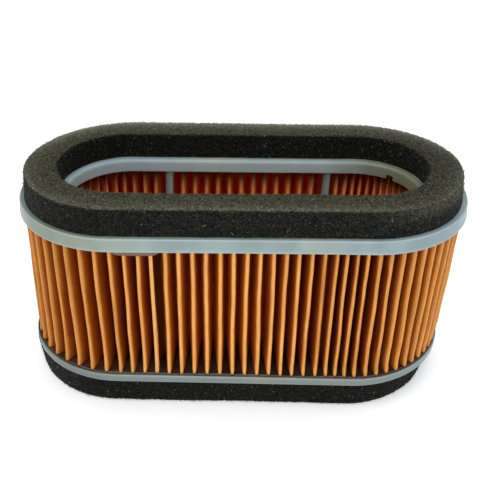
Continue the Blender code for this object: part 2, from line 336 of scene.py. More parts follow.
class Nodes:
    """A short way to write a Principled material with procedural inputs."""

    def __init__(self, name, roughness, **constants):
        self.material = bpy.data.materials.new(name)
        self.material.use_nodes = True
        self.tree = self.material.node_tree
        self.shader = self.tree.nodes["Principled BSDF"]
        self.shader.inputs["Roughness"].default_value = roughness
        for label, value in constants.items():
            self.shader.inputs[label.replace("_", " ")].default_value = value
        self.place = self.tree.nodes.new("ShaderNodeTexCoord").outputs["Object"]

    def link(self, source, target):
        self.tree.links.new(source, target)

    def add(self, kind, **inputs):
        """A new node, with each input named here linked to a socket or set to a constant."""
        node = self.tree.nodes.new("ShaderNode" + kind)
        for label, value in inputs.items():
            socket = node.inputs[label.replace("_", " ")]
            if isinstance(value, bpy.types.NodeSocket):
                self.link(value, socket)
            else:
                socket.default_value = value
        return node

    def stretched(self, scale):
        return self.add("Mapping", Scale=scale, Vector=self.place).outputs["Vector"]

    def noise(self, scale, detail=3.0, roughness=0.55, vector=None):
        inputs = {"Scale": scale, "Detail": detail, "Roughness": roughness, "Vector": vector or self.place}
        return self.add("TexNoise", **inputs).outputs["Fac"]

    def cells(self, scale):
        return self.add("TexVoronoi", Scale=scale, Vector=self.place).outputs["Distance"]

    def stored(self, label):
        node = self.add("Attribute")
        node.attribute_name = label
        return node.outputs["Fac"]

    def ramp(self, factor, stops):
        node = self.add("ValToRGB")
        while len(node.color_ramp.elements) < len(stops):
            node.color_ramp.elements.new(0.5)
        for element, (position, color) in zip(node.color_ramp.elements, stops):
            element.position = position
            element.color = (*color, 1.0) if not np.isscalar(color) else (color, color, color, 1.0)
        self.link(factor, node.inputs["Fac"])
        return node.outputs["Color"]

    def mix(self, factor, first, second, mode="MIX"):
        node = self.add("Mix")
        node.data_type = "RGBA"
        node.blend_type = mode
        for value, label in ((factor, "Factor"), (first, "A"), (second, "B")):
            socket = node.inputs[label]
            if isinstance(value, bpy.types.NodeSocket):
                self.link(value, socket)
            else:
                socket.default_value = value if np.isscalar(value) else (*value, 1.0)
        return node.outputs["Result"]

    def color(self, source):
        self.link(source, self.shader.inputs["Base Color"])

    def roughness(self, source, low, high):
        spread = self.add("MapRange", To_Min=low, To_Max=high, Value=source)
        self.link(spread.outputs["Result"], self.shader.inputs["Roughness"])

    def bump(self, layers):
        """Bump layers of (height, strength, distance in metres), the coarsest first."""
        normal = {}
        for height, strength, distance in layers:
            node = self.add("Bump", Strength=strength, Distance=distance, Height=height, **normal)
            normal = {"Normal": node.outputs["Normal"]}
        self.link(normal["Normal"], self.shader.inputs["Normal"])


def foam_material():
    """Charcoal open-cell foam: painted top light on its upward faces, painted shade in its pores and on its walls,
    and a painted highlight along its rim.
    """
    nodes = Nodes("open_cell_foam", 0.90, Sheen_Weight=0.04, Sheen_Roughness=0.45, Specular_IOR_Level=0.15)
    pores = nodes.cells(1700.0)
    grain = nodes.noise(1900.0, detail=2.0)
    cloud = nodes.noise(45.0, detail=3.0)
    # both ramps paint the pores' centres dark: painted shade
    wall = nodes.ramp(pores, [
        (0.0, (0.0007, 0.0008, 0.0006)),
        (0.45, (0.0026, 0.0031, 0.0022)),
        (0.85, (0.022, 0.025, 0.019)),
    ])
    face = nodes.ramp(pores, [
        (0.0, (0.005, 0.005, 0.003)),
        (0.45, (0.026, 0.025, 0.012)),
        (0.85, (0.100, 0.098, 0.052)),
    ])
    # painted top light: upward faces take the lighter, more olive ramp
    color = nodes.mix(nodes.stored("painted_lit_face"), wall, face)
    color = nodes.mix(nodes.ramp(cloud, [(0.3, 0.0), (0.7, 0.35)]), color, (0.016, 0.016, 0.008))
    color = nodes.mix(nodes.ramp(grain, [(0.58, 0.0), (0.68, 0.62)]), color, (0.100, 0.106, 0.080))
    # painted rim highlight: lighter along the rim
    color = nodes.mix(nodes.stored("frayed_and_rim_highlight"), color, (0.350, 0.350, 0.260))
    # painted shade: darker in the pores, on the walls, on the lower foam and towards the ends
    depth = nodes.ramp(nodes.stored("painted_shade"), [(0.0, 1.0), (1.0, 0.15)])
    nodes.color(nodes.mix(1.0, color, depth, "MULTIPLY"))
    nodes.bump([(pores, 0.9, 0.0003), (grain, 0.5, 0.0001)])
    return nodes.material


def strut_material():
    """The foam's own fine struts, with painted glints on cut ends, painted top light on upward faces and a painted
    highlight along the rim.
    """
    nodes = Nodes("foam_struts", 0.45, Sheen_Weight=0.1)
    tint = nodes.noise(700.0, detail=1.0)
    # bright spots are painted glints on cut strut ends
    bright = nodes.ramp(tint, [
        (0.38, (0.022, 0.022, 0.015)),
        (0.60, (0.120, 0.120, 0.085)),
        (0.74, (0.50, 0.50, 0.38)),
    ])
    dull = nodes.ramp(tint, [
        (0.42, (0.003, 0.003, 0.002)),
        (0.60, (0.016, 0.018, 0.014)),
        (0.70, (0.30, 0.33, 0.28)),
    ])
    # painted top light on the struts of upward faces, and a painted rim highlight
    color = nodes.mix(nodes.stored("painted_lit_face"), dull, bright)
    nodes.color(nodes.mix(nodes.stored("frayed_and_rim_highlight"), color, (0.52, 0.52, 0.42)))
    nodes.bump([(tint, 0.3, 0.0001)])
    return nodes.material


def plastic_material():
    """Satin grey-green moulding, a little yellowed and lightly scuffed, with painted shade on faces turned from +X
    and over the lower frame, painted bluish light on faces turned to +X, and painted edge highlights.
    """
    nodes = Nodes("frame_moulding", 0.36, Coat_Weight=0.12, Coat_Roughness=0.28, Specular_IOR_Level=0.5)
    cloud = nodes.noise(28.0, detail=4.0)
    speck = nodes.noise(420.0, detail=3.0)
    scuff = nodes.noise(1.0, detail=4.0, vector=nodes.stretched((90.0, 90.0, 900.0)))
    color = nodes.ramp(cloud, [
        (0.32, (0.275, 0.360, 0.380)),
        (0.50, (0.335, 0.430, 0.425)),
        (0.68, (0.385, 0.445, 0.375)),
    ])
    color = nodes.mix(nodes.ramp(speck, [(0.62, 0.0), (0.80, 0.35)]), color, (0.20, 0.24, 0.22))
    color = nodes.mix(nodes.ramp(scuff, [(0.60, 0.0), (0.78, 0.22)]), color, (0.50, 0.57, 0.56))
    # painted olive shade on faces turned away from +X, with some yellowing in patches
    color = nodes.mix(nodes.stored("yellowing_and_shade"), color, (0.270, 0.285, 0.170))
    # painted bluish light on faces turned towards +X
    color = nodes.mix(nodes.stored("painted_blue_light"), color, (0.270, 0.380, 0.470))
    # painted shade on the outer walls, over the lower frame and on faces turned away from +X, with grime in patches
    color = nodes.mix(nodes.stored("grime_and_shade"), color, (0.52, 0.56, 0.54), "MULTIPLY")
    # painted highlights on the rounded edges and a lighter painted ring face
    color = nodes.mix(nodes.stored("painted_highlight"), color, (0.62, 0.70, 0.70))
    # potting compound on the lower frame, with painted shade on its outside towards -X
    color = nodes.mix(nodes.stored("compound_and_shade"), color, (0.040, 0.022, 0.012))
    nodes.color(color)
    nodes.roughness(scuff, 0.28, 0.52)
    nodes.bump([(cloud, 0.12, 0.0008), (speck, 0.10, 0.00006), (scuff, 0.10, 0.00005)])
    return nodes.material


def paper_material():
    """Resin-treated filter paper: golden, with painted highlights on the folds and painted shade, darker and
    redder, down between the pleats.
    """
    glow = {"Subsurface_Weight": 0.30, "Subsurface_Scale": 1.0 * MM, "Subsurface_Radius": (1.0, 0.22, 0.05)}
    nodes = Nodes("filter_paper", 0.62, Specular_IOR_Level=0.10, **glow)
    fibre = nodes.noise(1.0, detail=5.0, roughness=0.65, vector=nodes.stretched((1500.0, 1500.0, 420.0)))
    blotch = nodes.noise(120.0, detail=4.0)
    streak = nodes.noise(1.0, detail=3.0, vector=nodes.stretched((620.0, 620.0, 18.0)))
    depth = nodes.stored("fold_depth")
    # painted highlight on the outer folds, then painted shade deeper between the pleats
    outside = nodes.ramp(depth, [
        (0.00, (0.960, 0.465, 0.135)),
        (0.04, (0.910, 0.385, 0.080)),
        (0.09, (0.670, 0.230, 0.028)),
        (0.17, (0.600, 0.170, 0.012)),
        (0.45, (0.550, 0.112, 0.006)),
        (1.00, (0.450, 0.058, 0.004)),
    ])
    # on the inner side, painted shade on the flanks and a painted highlight on the inner folds
    inside = nodes.ramp(depth, [
        (0.00, (0.900, 0.130, 0.024)),
        (0.70, (0.980, 0.200, 0.042)),
        (0.93, (1.000, 0.330, 0.085)),
        (1.00, (1.000, 0.520, 0.190)),
    ])
    color = nodes.mix(nodes.stored("inner_side"), outside, inside)
    # painted shade on the pleats round both ends
    color = nodes.mix(nodes.stored("painted_end_shade"), color, (0.44, 0.25, 0.055), "MULTIPLY")
    color = nodes.mix(1.0, color, nodes.ramp(blotch, [(0.30, 1.0), (0.75, 0.86)]), "MULTIPLY")
    color = nodes.mix(1.0, color, nodes.ramp(streak, [(0.30, 0.84), (0.55, 1.0), (0.75, 1.06)]), "MULTIPLY")
    color = nodes.mix(1.0, color, nodes.ramp(fibre, [(0.35, 0.86), (0.60, 1.0)]), "MULTIPLY")
    # dark where soaked with potting resin near the beds, and painted shade deep in the valleys there and in the gap
    # beside the seam
    soak_and_shade = nodes.ramp(nodes.stored("soaked_and_shaded"), [(0.0, 0.0), (1.0, 0.92)])
    nodes.color(nodes.mix(soak_and_shade, color, (0.035, 0.010, 0.003)))
    nodes.roughness(nodes.stored("soaked_and_shaded"), 0.64, 0.40)
    nodes.bump([(streak, 0.30, 0.0003), (blotch, 0.20, 0.0003), (fibre, 0.40, 0.00008)])
    return nodes.material


def potting_material():
    """Dark brown potting compound, set with a slight gloss."""
    nodes = Nodes("potting_compound", 0.36, Coat_Weight=0.15)
    swirl = nodes.noise(70.0, detail=4.0)
    dust = nodes.noise(650.0, detail=2.0)
    color = nodes.ramp(swirl, [
        (0.30, (0.030, 0.012, 0.005)),
        (0.55, (0.075, 0.034, 0.015)),
        (0.80, (0.115, 0.062, 0.034)),
    ])
    color = nodes.mix(nodes.ramp(dust, [(0.58, 0.0), (0.80, 0.30)]), color, (0.20, 0.14, 0.09))
    nodes.color(nodes.mix(nodes.stored("thinned"), color, (0.22, 0.12, 0.08)))
    nodes.roughness(swirl, 0.28, 0.55)
    nodes.bump([(swirl, 0.35, 0.0006), (dust, 0.15, 0.0001)])
    return nodes.material


def glue_material(name, dark, light):
    nodes = Nodes(name, 0.35)
    swirl = nodes.noise(160.0, detail=3.0)
    dust = nodes.noise(900.0, detail=2.0)
    nodes.color(nodes.ramp(swirl, [(0.3, dark), (0.7, light)]))
    nodes.roughness(dust, 0.30, 0.60)
    nodes.bump([(swirl, 0.3, 0.0002)])
    return nodes.material


# ---- Foam gaskets ----

FOAM_SPACING = 0.52 * MM
LOWER_FOAM_SHIFT = -2.0 * MM     # the lower foam was stuck on off centre, towards -X
FOAM_FOOT_GAP = 0.35 * MM        # the adhesive film's thickness under the foam
PORE = 1.05 * MM
FINE_PORE = 0.60 * MM
SPIKES = 16000
SPIKE_POINTS = 4
OPEN_CELLS = 4200
CELL_CORNERS = 5
CELL_SIDES = 3


def foam_profile(face, seal):
    """The foam's section from its outer foot, up the wall, across the cut face and down the inner wall."""
    up = 1 if seal > face else -1
    foot = face + up * FOAM_FOOT_GAP
    height = abs(seal - foot)
    edge = 1.3 * MM
    outer_top = FOAM_OUTER + FOAM_LEAN
    points = spread_line((FOAM_OUTER, 0.0), (outer_top, height - edge), FOAM_SPACING)
    points += arc_profile((outer_top + edge, height - edge), edge, 180, 90, 5)
    points += spread_line((outer_top + edge, height), (FOAM_INNER - edge, height), FOAM_SPACING)[1:]
    points += arc_profile((FOAM_INNER - edge, height - edge), edge, 90, 0, 5)
    points += spread_line((FOAM_INNER, height - edge), (FOAM_INNER, 0.0), FOAM_SPACING)[1:]
    points += spread_line((FOAM_INNER, 0.0), (FOAM_OUTER, 0.0), 2.5 * MM)
    return [(inset, foot + up * rise) for inset, rise in points]


def foam_gasket(name, face, seal, shift):
    """A gasket with pores sunk into its surface, and its cut struts as a second piece."""
    stations = lap_stations(FOAM_SPACING)
    profile = foam_profile(face, seal)
    points = swept_points(stations, profile)
    up = 1 if seal > face else -1
    normals = outward_normals(points) * up
    shape = points.shape
    flat = points.reshape(-1, 3)
    side = normals.reshape(-1, 3)
    coarse, owner = cell_edges(flat, PORE, 10)
    fine, fine_owner = cell_edges(flat, FINE_PORE, 20)
    sunk = smoothstep(0.06, 0.42, coarse) * (0.12 + 0.42 * owner) * MM
    sunk += smoothstep(0.05, 0.40, fine) * (0.05 + 0.16 * fine_owner) * MM
    sunk -= 0.16 * MM * smooth_noise(flat, 0.9 * MM, 31)
    sag = 0.22 * MM * smooth_noise(flat, 26 * MM, 32) + 0.10 * MM * smooth_noise(flat, 7 * MM, 33)
    rise = (flat[:, 2] - face) * up
    held = smoothstep(0.3 * MM, 1.8 * MM, rise)
    flat = flat - side * ((np.clip(sunk, 0, None) + 0.05 * MM) * (0.15 + 0.85 * held) + sag * held)[:, None]
    flat = flat + np.array([shift, 0.0, 0.0])
    flat[:, 2] = np.clip(flat[:, 2], SEAL_BOTTOM, SEAL_TOP)
    # painted top light: faces that look up take the lighter colour
    exposed = smoothstep(0.25, 0.85, side[:, 2] * up) * smoothstep(2 * MM, 9 * MM, rise)
    inset = np.broadcast_to(np.array(profile)[:, 0], shape[:2]).ravel()
    near_rim = inset < FOAM_OUTER + 5 * MM
    # painted light: the outer wall towards +X takes the lighter colour too
    lit_right_wall = 0.50 * smoothstep(0.045, 0.080, flat[:, 0]) * smoothstep(4 * MM, 11 * MM, rise) * near_rim
    exposed = np.maximum(exposed, lit_right_wall * (up > 0))
    # painted shade in the pores, on the walls, on the upper foam's inner wall and over the whole lower foam, darker
    # towards both ends
    sheltered = 0.30 * (inset > FOAM_OUTER + 8 * MM) if up > 0 else 0.60
    depth = smoothstep(0.05 * MM, 0.55 * MM, sunk) + sheltered * (1 - exposed)
    to_left = smoothstep(0.020, 0.080, -flat[:, 0]) * (1 - exposed)
    to_right = smoothstep(0.020, 0.080, flat[:, 0]) * exposed
    depth = np.clip(depth + 0.12 * (1 - exposed) + 0.20 * (to_left + to_right), 0, 1)
    # painted rim highlight along the rim of the seal face, strongest at the back; it also sets where the struts
    # fray
    behind = 0.25 + 0.75 * smoothstep(0.0, 0.03, flat[:, 1])
    frayed_and_rim_highlight = 0.90 * exposed * behind * np.exp(-(inset - FOAM_OUTER - FOAM_LEAN) / (3.2 * MM))
    faces = facing(grid_faces(shape[0], shape[1], True, True), up)
    attributes = {"painted_shade": depth, "painted_lit_face": exposed, "frayed_and_rim_highlight": frayed_and_rim_highlight}
    piece = make_piece(name, flat, faces, foam_material_used, attributes=attributes)
    fuzz = foam_struts(name + "_struts", flat, side, exposed, frayed_and_rim_highlight, held)
    return piece, fuzz


def cross_frames(random, aim):
    """Two directions square to each aim, turned at random about it."""
    across = np.cross(aim, random.normal(0, 1, aim.shape))
    across /= np.linalg.norm(across, axis=1, keepdims=True)
    return across, np.cross(aim, across)


def strut_spikes(random, base, side, longer):
    """Short cut struts, each a thin three-sided spike: points and faces."""
    count = len(base)
    aim = side * 0.8 + random.normal(0, 0.55, (count, 3))
    aim /= np.linalg.norm(aim, axis=1, keepdims=True)
    across, beside = cross_frames(random, aim)
    length = (random.uniform(0.25, 0.80, count) * longer)[:, None] * MM
    radius = random.uniform(0.04, 0.09, count)[:, None] * MM
    points = [base + aim * length]
    for turn in (0, 2.094, 4.189):
        points.append(base - aim * 0.1 * MM + radius * (across * math.cos(turn) + beside * math.sin(turn)))
    points = np.stack(points, axis=1)
    corners = np.array([[0, 1, 2], [0, 2, 3], [0, 3, 1], [3, 2, 1]])
    faces = np.arange(count)[:, None, None] * SPIKE_POINTS + corners[None]
    return points.reshape(-1, 3), faces.reshape(-1, 3)


def open_cells(random, base, side):
    """Cut-open cells: five-cornered loops of strut that stand half out of the foam."""
    count, corners, sides = len(base), CELL_CORNERS, CELL_SIDES
    axis = random.normal(0, 1, (count, 3)) - side * 0.3
    axis /= np.linalg.norm(axis, axis=1, keepdims=True)
    across, beside = cross_frames(random, axis)
    size = random.uniform(0.30, 0.52, (count, 1)) * MM
    centre = base + side * size * random.uniform(0.1, 0.9, (count, 1))
    points = np.empty((count, corners, sides, 3))
    for corner in range(corners):
        turn = 2 * math.pi * corner / corners
        outward = across * math.cos(turn) + beside * math.sin(turn)
        middle = centre + outward * size * random.uniform(0.8, 1.25, (count, 1))
        for edge in range(sides):
            roll = 2 * math.pi * edge / sides
            thickness = 0.055 * MM * (outward * math.cos(roll) + axis * math.sin(roll))
            points[:, corner, edge] = middle + thickness
    loop = []
    for corner in range(corners):
        for edge in range(sides):
            ahead, beyond = (corner + 1) % corners, (edge + 1) % sides
            first, second = corner * sides, ahead * sides
            loop.append([first + edge, first + beyond, second + beyond])
            loop.append([first + edge, second + beyond, second + edge])
    faces = np.arange(count)[:, None, None] * corners * sides + np.array(loop)[None]
    return points.reshape(-1, 3), faces.reshape(-1, 3)


def foam_struts(name, flat, side, exposed, frayed_and_rim_highlight, held):
    """The foam's cut struts and open cells, thickest along the rim between wall and cut face."""
    random = np.random.default_rng(SEED + len(name))
    free = np.nonzero(held > 0.6)[0]
    thick = 1 + 14 * frayed_and_rim_highlight[free]
    spiked = np.sort(random.choice(free, size=SPIKES, replace=False, p=thick / thick.sum()))
    rim = np.clip(1 - np.abs(exposed[free] - 0.45) * 1.6, 0.12, 1) + 2.5 * frayed_and_rim_highlight[free]
    opened = np.sort(random.choice(free, size=OPEN_CELLS, replace=False, p=rim / rim.sum()))
    spike_points, spike_faces = strut_spikes(random, flat[spiked], side[spiked], 1 + 1.2 * frayed_and_rim_highlight[spiked])
    cell_points, cell_faces = open_cells(random, flat[opened], side[opened])
    points = np.concatenate([spike_points, cell_points])
    points[:, 2] = np.clip(points[:, 2], SEAL_BOTTOM, SEAL_TOP + 0.8 * MM)
    faces = np.concatenate([spike_faces, cell_faces + len(spike_points)])
    attributes = {}
    for label, values in (("painted_lit_face", exposed), ("frayed_and_rim_highlight", frayed_and_rim_highlight)):
        on_spikes = np.repeat(values[spiked], SPIKE_POINTS)
        on_cells = np.repeat(values[opened], CELL_CORNERS * CELL_SIDES)
        attributes[label] = np.concatenate([on_spikes, on_cells])
    return make_piece(name, points, faces, strut_material_used, False, attributes)


# ---- Frames, posts and adhesive ----

NOTCH_ANGLE = math.radians(50)
NOTCH_HALF = 1.8 * MM
NOTCH_RISE = 2.4 * MM


def frame_profile(face, free_edge):
    """A channel section with rounded corners; heights run from the flat face to the free edges."""
    depth = abs(face - free_edge)
    outer_round, lip_round, edge_round = 0.95 * MM, 1.7 * MM, 0.35 * MM
    inner = FRAME_RING
    points = arc_profile((edge_round, -depth + edge_round), edge_round, 270, 180, 4)
    points += spread_line((0.0, -depth + edge_round), (0.0, -outer_round), 1.0 * MM)[1:]
    points += arc_profile((outer_round, -outer_round), outer_round, 180, 90, 7)
    points += spread_line((outer_round, 0.0), (inner - lip_round, 0.0), 4 * MM)[1:]
    points += arc_profile((inner - lip_round, -lip_round), lip_round, 90, 0, 8)
    points += spread_line((inner, -lip_round), (inner, -depth + edge_round), 1.0 * MM)[1:]
    points += arc_profile((inner - edge_round, -depth + edge_round), edge_round, 0, -90, 4)
    points += arc_profile((inner - FRAME_WALL + edge_round, -depth + edge_round), edge_round, 270, 180, 3)
    points += arc_profile((inner - FRAME_WALL - 0.6 * MM, -FRAME_WALL - 0.6 * MM), 0.6 * MM, 0, 90, 4)
    points += arc_profile((FRAME_WALL + 0.6 * MM, -FRAME_WALL - 0.6 * MM), 0.6 * MM, 90, 180, 4)
    points += arc_profile((FRAME_WALL - edge_round, -depth + edge_round), edge_round, 0, -90, 3)
    up = 1 if face > free_edge else -1
    return [(inset, face + up * height) for inset, height in points]


def frame_stations():
    """Stations round a frame, closer together at the notch's two sides."""
    stations = lap_stations(1.6 * MM)
    radius = END_RADIUS - FRAME_RING
    middle = STRAIGHT_HALF + PITCH_RADIUS * (NOTCH_ANGLE + math.pi / 2)
    half = NOTCH_HALF / radius * PITCH_RADIUS
    edges = [middle - half - 0.02 * MM, middle - half, middle + half, middle + half + 0.02 * MM]
    return np.unique(np.concatenate([stations, edges])), middle, half


def frame_moulding(name, face, free_edge, flare, grime_and_shade):
    """One frame.  The upper one's outer wall flares at its ends, and its inner wall has a locating notch."""
    stations, notch_middle, notch_half = frame_stations()
    profile = np.array(frame_profile(face, free_edge))
    total = abs(face - free_edge)
    insets = profile[:, 0]
    outer_wall = insets < FRAME_WALL + 0.7 * MM
    fall = np.abs(profile[:, 1] - face) / total
    flared = (0.10 + end_swell(stations))[:, None] * (outer_wall * (0.55 + 0.45 * fall ** 2))
    x, y = plan(stations[:, None], insets - flare * flared)
    points = np.stack([x, y, np.broadcast_to(profile[:, 1], x.shape)], axis=-1)
    up = 1 if face > free_edge else -1
    depth = np.abs(points[..., 2] - face)
    if up > 0:
        inside = np.abs(stations - notch_middle) <= notch_half + 1e-9
        reach = total - NOTCH_RISE
        on_wall = (insets > FRAME_RING - FRAME_WALL - 0.01 * MM)[None, :] & (depth > reach) & inside[:, None]
        points[..., 2] = np.where(on_wall, face - up * reach, points[..., 2])
    wave = smooth_noise(points, 14 * MM, 41)
    normals = outward_normals(points) * up
    points = points - normals * (0.04 * MM * (1 + wave))[..., None]
    faces = facing(grid_faces(len(stations), len(profile), True, True), up)
    attributes = frame_stains(stations, points, insets, depth, total, grime_and_shade, up < 0)
    return make_piece(name, points.reshape(-1, 3), faces, plastic_used, attributes=attributes)


def frame_stains(stations, points, insets, depth, total, grime_and_shade, below):
    """Painted shade, painted bluish light and painted edge highlights on a frame, with yellowing and dirt in
    patches and smeared potting compound.
    """
    x = points[..., 0]
    inset = np.broadcast_to(insets, x.shape)
    left = smoothstep(0.040, 0.090, -x)
    outside = inset < 8 * MM
    # painted olive shade on the ring face at the +X end and on the outside towards -X, with yellowing in patches
    yellow_and_shade = 0.90 * smoothstep(0.035, 0.075, x) * smoothstep(12 * MM, 17 * MM, inset)
    yellow_and_shade += (0.50 * left + 0.12 * np.clip(smooth_noise(points, 9 * MM, 92), 0, 1)) * outside
    flange = (inset > 0.9 * MM) & (inset < 4 * MM) & (depth < 0.2 * MM)
    # painted highlights on the rounded outer corner and along the free edge, and a lighter painted ring face
    painted_highlight = 0.38 * np.exp(-((inset - 0.28 * MM) ** 2 + (depth - 0.28 * MM) ** 2) / (0.34 * MM) ** 2)
    painted_highlight += 0.40 * np.exp(-((inset - 0.10 * MM) ** 2 + (depth - total + 0.10 * MM) ** 2) / (0.30 * MM) ** 2)
    # the ring face at the +X end, which takes painted shade instead of the lighter painted ring face
    shaded_right_ring = smoothstep(0.035, 0.070, x) * smoothstep(12 * MM, 17 * MM, inset)
    painted_highlight += 0.30 * (inset > FRAME_RING - 0.2 * MM) * (1 - below) * (1 - shaded_right_ring)
    patch = smooth_noise(points, 5 * MM, 91)
    smear_and_shade = np.zeros(x.shape)
    # On the lower frame: dark at both ends of the outer wall, potting compound on its top face, and painted shade
    # over its outside, more towards -X.
    if below:
        from_left = stations + END_MIDDLE
        left_end = 1 - smoothstep(13 * MM, 26 * MM, np.abs(from_middle(from_left)))
        right_end = 0.9 * (1 - smoothstep(4 * MM, 13 * MM, np.abs(from_middle(stations - END_MIDDLE))))
        smear_and_shade = (left_end + right_end)[:, None] * (inset < FRAME_WALL + 0.1 * MM) * (depth > 0.4 * MM)
        smear_and_shade = np.maximum(smear_and_shade, (0.10 + 0.22 * left) * outside * (0.9 + 0.3 * patch))
        top = (depth > total - 0.45 * MM) & (inset > 0.60 * MM)
        smear_and_shade = np.maximum(smear_and_shade, top * (0.82 + 0.18 * patch))
        painted_highlight *= 1 - smear_and_shade
    # painted bluish light on the outside at the +X end and on the inner ring at the -X end, both facing +X
    painted_blue_light = 0.40 * smoothstep(0.010, 0.080, x) * outside + 0.5 * smoothstep(0.02, 0.06, -x) * (1 - outside)
    # painted shade over the lower frame, on the outer walls (more towards -X), where the flange meets the foam at
    # -X and on the ring face at +X, with grime in patches
    dirt_and_shade = grime_and_shade + (0.47 + 0.40 * left) * outside + 0.22 * patch + 0.4 * left * flange + 0.8 * shaded_right_ring
    stains = {
        "yellowing_and_shade": yellow_and_shade,
        "painted_blue_light": painted_blue_light,
        "grime_and_shade": np.clip(dirt_and_shade, 0, 1),
        "painted_highlight": painted_highlight,
        "compound_and_shade": np.clip(smear_and_shade, 0, 1),
    }
    return {label: values.ravel() for label, values in stains.items()}


def sharp_by_angle(piece, degrees):
    piece.data.set_sharp_from_angle(angle=math.radians(degrees))


def support_post(node):
    """An upright moulded post with rounded corners and a flared foot at each end."""
    low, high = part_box(node)
    middle_x, middle_y = (low.x + high.x) / 2, (low.y + high.y) / 2
    half_x, half_y = (high.x - low.x) / 2, (high.y - low.y) / 2
    inward = -1 if middle_y > 0 else 1
    corner = 1.4 * MM
    ring = []
    for quarter, (sx, sy) in enumerate(((1, 1), (-1, 1), (-1, -1), (1, -1))):
        for angle in np.radians(np.linspace(90 * quarter, 90 * quarter + 90, 6)):
            across = sx * (half_x - corner) + corner * math.cos(angle)
            ring.append((across, sy * (half_y - corner) + corner * math.sin(angle)))
    ring = np.array(ring)
    heights = np.concatenate([
        np.linspace(low.z, low.z + 5 * MM, 8, endpoint=False),
        np.linspace(low.z + 5 * MM, high.z - 5 * MM, 24, endpoint=False),
        np.linspace(high.z - 5 * MM, high.z, 9),
    ])
    end = np.minimum(heights - low.z, high.z - heights)
    scale = 0.90 + 0.10 * np.exp(-end / (1.6 * MM))
    points = np.empty((len(heights), len(ring), 3))
    points[..., 0] = middle_x + ring[None, :, 0] * scale[:, None]
    points[..., 1] = middle_y + ring[None, :, 1] * scale[:, None]
    points[..., 2] = heights[:, None]
    rib = np.exp(-((ring[:, 0] / (0.9 * MM)) ** 2)) * (ring[:, 1] * inward > 0)
    points[..., 1] -= inward * 0.35 * MM * rib[None, :]
    shade = np.broadcast_to(1 - smoothstep(-half_x, 0.35 * half_x, ring[:, 0]), points.shape[:2]).ravel()
    if middle_y < 0:
        points[..., 0] += uprighting(middle_x, points[..., 2])
    faces = capped_faces(len(heights), len(ring))
    # painted shade on the post's -X side and painted bluish light on its +X side
    stains = {"yellowing_and_shade": 0.6 * shade, "grime_and_shade": 0.9 * shade, "painted_blue_light": 0.35 * (1 - shade)}
    piece = make_piece(node + "_moulding", points.reshape(-1, 3), faces, plastic_used, attributes=stains)
    sharp_by_angle(piece, 40)
    return piece


def adhesive_ring(name, face, up, shift):
    """The film of adhesive between a frame and its foam, with slightly uneven edges."""
    stations = lap_stations(1.5 * MM)
    section = [
        (2.2, 0.0), (2.1, 0.2), (2.3, 0.42), (9.0, 0.42),
        (17.0, 0.42), (17.2, 0.2), (17.1, 0.0), (9.0, 0.0),
    ]
    profile = [(inset * MM, face + up * height * MM) for inset, height in section]
    points = swept_points(stations, profile)
    edge = smooth_noise(points, 5 * MM, 51)
    middle = np.array(plan(stations, 9.6 * MM)).T[:, None, :]
    points[..., :2] += (points[..., :2] - middle) * (0.035 * edge)[..., None]
    points[..., 0] += shift
    faces = facing(grid_faces(len(stations), len(profile), True, True), up)
    return make_piece(name, points.reshape(-1, 3), faces, film_used)


# ---- Pleated paper ----

SHEET = 0.62 * MM                # paper with its resin
TIP_RADIUS = 0.42 * MM
ROOT_RADIUS = 0.40 * MM
FLANK_SLOPE = math.radians(80)
SHALLOW_ROOT = 12.5 * MM         # folds that make room for a post
PAPER_INTO_BED = 1.4 * MM
SEAM_HALF = 0.45 * MM            # the seam's two ends lie flat on the glue between them
SIDESTEP = 1.2 * MM              # how far the near side's outer folds lean to the right of their roots
SIDESTEP_MIDDLE = 0.003
SIDESTEP_REACH = 0.023
SLOW_SWAY = 0.30                 # unevenness of the folds along the lap and across it, in mm
QUICK_SWAY = 0.12
PUSH = 0.22 * MM
FOOT_NARROWING = 0.42            # how far the outer folds close up at their feet
FOOT_FORWARD = 0.95              # and how far they come forward over the lower wall, in mm


def pleat_line():
    """The fold line in plan, from the seam round to the seam.

    Each row is a distance, an inset, the pleat's number and the distance of its fold's middle.
    """
    tip = FOLD_OUTER + SHEET / 2
    root = FOLD_INNER - SHEET / 2
    rows = []

    def fold(middle, number, end, radius, inward, count):
        for angle in np.linspace(-FLANK_SLOPE, FLANK_SLOPE, count):
            inset = end + inward * radius * (1 - math.cos(angle))
            rows.append((middle + radius * math.sin(angle), inset, number, middle))

    for step in range(4):
        rows.append((SEAM + SEAM_HALF, tip + step * 2.6 * MM, -0.5, SEAM))
    for index in range(PLEATS):
        if index > 0:
            fold(OUTER_FOLDS[index - 1], index - 0.5, tip, TIP_RADIUS, 1, 7)
        fold(INNER_FOLDS[index], index, SHALLOW_ROOT if index in POST_FOLDS else root, ROOT_RADIUS, -1, 5)
    for step in range(3, -1, -1):
        rows.append((SEAM + LAP - SEAM_HALF, tip + step * 1.3 * MM, PLEATS - 0.5, SEAM + LAP))
    return with_flanks(np.array(rows))


def with_flanks(rows):
    """Adds points down each flank, where the fold line runs straight for a long way."""
    filled = []
    for here, ahead in zip(rows[:-1], rows[1:]):
        filled.append(here)
        gap = abs(ahead[1] - here[1])
        if gap > 2.5 * MM:
            count = 4 if gap > 6 * MM else 3
            for step in range(1, count):
                filled.append(here + (ahead - here) * step / count)
    filled.append(rows[-1])
    return np.array(filled)


def pleat_heights():
    """Rows up the paper, closer where its ends are set in the potting."""
    bottom = LOWER_BED_HIGH - PAPER_INTO_BED
    top = UPPER_BED_LOW + PAPER_INTO_BED
    return np.concatenate([
        np.linspace(bottom, bottom + 6.5 * MM, 9, endpoint=False),
        np.linspace(bottom + 6.5 * MM, top - 3 * MM, 17, endpoint=False),
        np.linspace(top - 3 * MM, top, 4),
    ])


